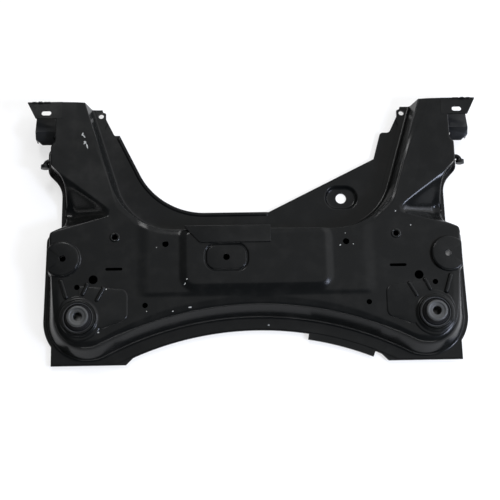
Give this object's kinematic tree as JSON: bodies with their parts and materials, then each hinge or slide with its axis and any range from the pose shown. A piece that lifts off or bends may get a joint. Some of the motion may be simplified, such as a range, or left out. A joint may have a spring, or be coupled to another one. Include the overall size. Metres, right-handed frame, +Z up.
{
  "type": "front subframe",
  "caption": "U-shaped pressed-steel front subframe for a car: two welded shells form a box with rubber body bushes, bolt tubes, weld nuts and horn brackets.",
  "frame": {"origin": "middle of the part's bounding box, on the ground plane under the bush housings", "axes": "+X to the right side, +Y towards the horns at the front, +Z up out of the deck"},
  "size_m": [0.932, 0.544, 0.083],
  "materials": {
    "coated_sheet": "black cathodic dip coat, semi-gloss",
    "rubber": "moulded, matt",
    "bare_steel": "turned, dull zinc",
    "nut_steel": "phosphated"
  },
  "bodies": {
    "root": {"upper_shell": "coated_sheet", "lower_shell": "coated_sheet", "front_patch": "coated_sheet", "left_box_bracket": "coated_sheet", "right_box_bracket": "coated_sheet", "left_hook": "coated_sheet", "right_hook": "coated_sheet", "left_bush_housing": "coated_sheet", "right_bush_housing": "coated_sheet", "left_bush_sleeve": "nut_steel", "right_bush_sleeve": "nut_steel", "left_bush_rubber": "rubber", "right_bush_rubber": "rubber", "left_bush_core": "bare_steel", "right_bush_core": "bare_steel", "left_rack_tube": "nut_steel", "right_rack_tube": "nut_steel", "left_arm_tube": "nut_steel", "right_arm_tube": "nut_steel", "front_weld_nuts": "nut_steel", "rear_weld_nuts": "nut_steel", "middle_weld_nut": "nut_steel"}
  },
  "joints": []
}
